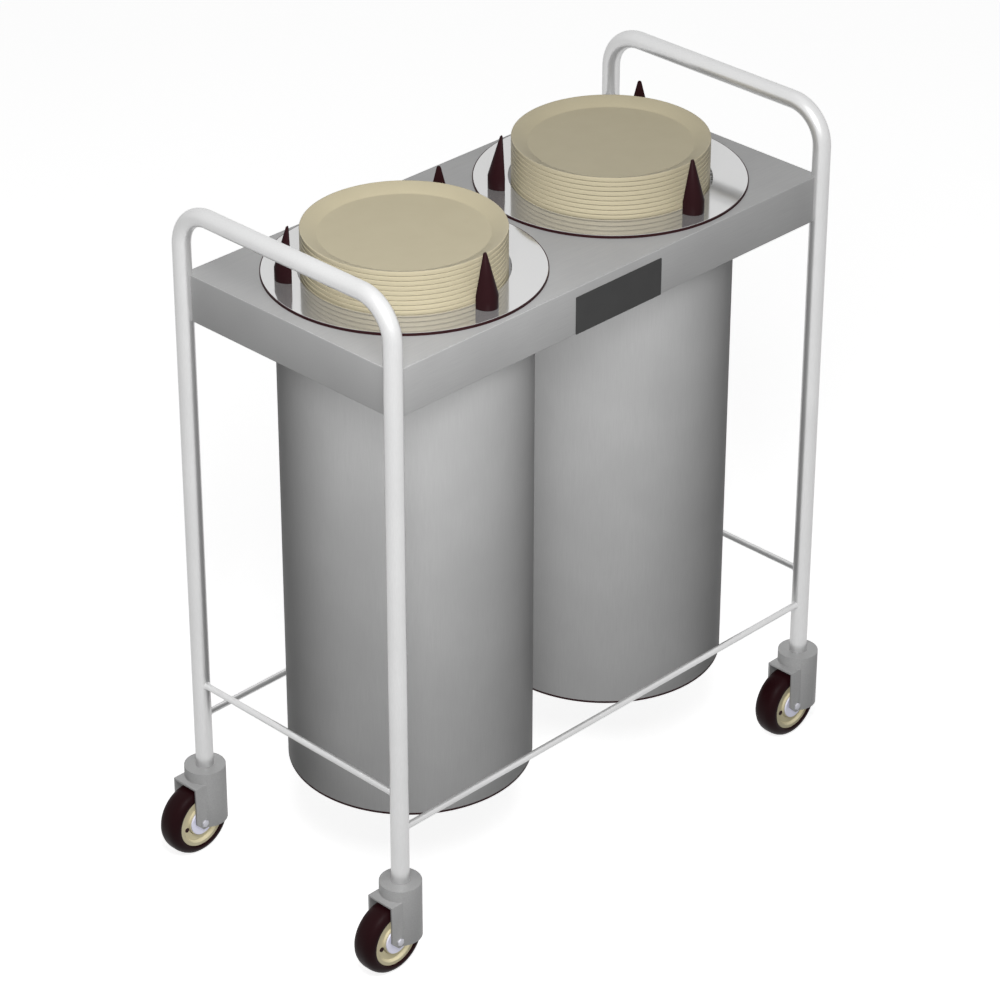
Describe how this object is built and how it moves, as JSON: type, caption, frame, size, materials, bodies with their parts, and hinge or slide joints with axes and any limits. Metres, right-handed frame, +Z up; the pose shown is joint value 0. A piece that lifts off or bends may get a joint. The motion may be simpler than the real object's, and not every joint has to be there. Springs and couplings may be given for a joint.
{
  "type": "plate dispenser cart",
  "caption": "Open-frame cart with self-levelling round plate dispensers hung in a sheet deck, tubular end handles and swivel casters, loaded with plates.",
  "frame": {"origin": "on the floor under the middle of the frame", "axes": "+Z up, +X along the cart, away from the casters' trailing wheels; the badge side is -Y"},
  "size_m": [0.926, 0.456, 1.0147],
  "materials": {
    "hoop_steel": "satin polished stainless tube",
    "deck_steel": "brushed stainless sheet",
    "can_sheet": "satin grey sheet metal",
    "flange_polish": "mirror polished",
    "gasket_brown": "dark brown moulded trim",
    "post_brown": "dark brown moulded plastic",
    "badge_charcoal": "blank charcoal plate",
    "rod_steel": "bright drawn rod",
    "lift_steel": "zinc plated",
    "block_nylon": "natural moulded nylon",
    "plate_glaze": "cream glaze",
    "caster_zinc": "zinc plated",
    "bolt_zinc": "zinc plated",
    "tyre_rubber": "dark brown soft rubber",
    "hub_plastic": "tan moulded plastic"
  },
  "bodies": {
    "cart": {"end_frame_left": "hoop_steel", "end_frame_right": "hoop_steel", "end_bar_left": "rod_steel", "end_bar_right": "rod_steel", "long_rail_front": "rod_steel", "long_rail_rear": "rod_steel", "deck": "deck_steel", "badge_plate": "badge_charcoal", "dispenser_can_a": "can_sheet", "flange_a": "flange_polish", "guide_posts_a": "post_brown", "guide_bars_a": "lift_steel", "lift_springs_a": "lift_steel", "dispenser_can_b": "can_sheet", "flange_b": "flange_polish", "guide_posts_b": "post_brown", "guide_bars_b": "lift_steel", "lift_springs_b": "lift_steel"},
    "carrier_a": {"plate_carrier_a": "lift_steel", "slide_blocks_a": "block_nylon", "plate_stack_a": "plate_glaze"},
    "carrier_b": {"plate_carrier_b": "lift_steel", "slide_blocks_b": "block_nylon", "plate_stack_b": "plate_glaze"},
    "swivel_front_left": {"caster_fork_front_left": "caster_zinc"},
    "wheel_front_left": {"caster_wheel_front_left": "tyre_rubber"},
    "swivel_front_right": {"caster_fork_front_right": "caster_zinc"},
    "wheel_front_right": {"caster_wheel_front_right": "tyre_rubber"},
    "swivel_rear_left": {"caster_fork_rear_left": "caster_zinc"},
    "wheel_rear_left": {"caster_wheel_rear_left": "tyre_rubber"},
    "swivel_rear_right": {"caster_fork_rear_right": "caster_zinc"},
    "wheel_rear_right": {"caster_wheel_rear_right": "tyre_rubber"}
  },
  "joints": [
    {"name": "lift_a", "type": "slide", "parent": "cart", "child": "carrier_a", "axis": [0, 0, 1], "range_m": [-0.51, 0.027], "stiffness_N_per_m": 1370, "springref_m": 0.1035, "deforming": ["lift_springs_a"]},
    {"name": "lift_b", "type": "slide", "parent": "cart", "child": "carrier_b", "axis": [0, 0, 1], "range_m": [-0.51, 0.027], "stiffness_N_per_m": 1370, "springref_m": 0.1035, "deforming": ["lift_springs_b"]},
    {"name": "swivel_front_left", "type": "hinge", "parent": "cart", "child": "swivel_front_left", "pos_m": [-0.4095, -0.1985, 0.12], "axis": [0, 0, 1], "continuous": true},
    {"name": "roll_front_left", "type": "hinge", "parent": "swivel_front_left", "child": "wheel_front_left", "pos_m": [-0.434, -0.1985, 0.053], "axis": [0, 1, 0], "continuous": true},
    {"name": "swivel_front_right", "type": "hinge", "parent": "cart", "child": "swivel_front_right", "pos_m": [0.4095, -0.1985, 0.12], "axis": [0, 0, 1], "continuous": true},
    {"name": "roll_front_right", "type": "hinge", "parent": "swivel_front_right", "child": "wheel_front_right", "pos_m": [0.385, -0.1985, 0.053], "axis": [0, 1, 0], "continuous": true},
    {"name": "swivel_rear_left", "type": "hinge", "parent": "cart", "child": "swivel_rear_left", "pos_m": [-0.4095, 0.1985, 0.12], "axis": [0, 0, 1], "continuous": true},
    {"name": "roll_rear_left", "type": "hinge", "parent": "swivel_rear_left", "child": "wheel_rear_left", "pos_m": [-0.434, 0.1985, 0.053], "axis": [0, 1, 0], "continuous": true},
    {"name": "swivel_rear_right", "type": "hinge", "parent": "cart", "child": "swivel_rear_right", "pos_m": [0.4095, 0.1985, 0.12], "axis": [0, 0, 1], "continuous": true},
    {"name": "roll_rear_right", "type": "hinge", "parent": "swivel_rear_right", "child": "wheel_rear_right", "pos_m": [0.385, 0.1985, 0.053], "axis": [0, 1, 0], "continuous": true}
  ]
}
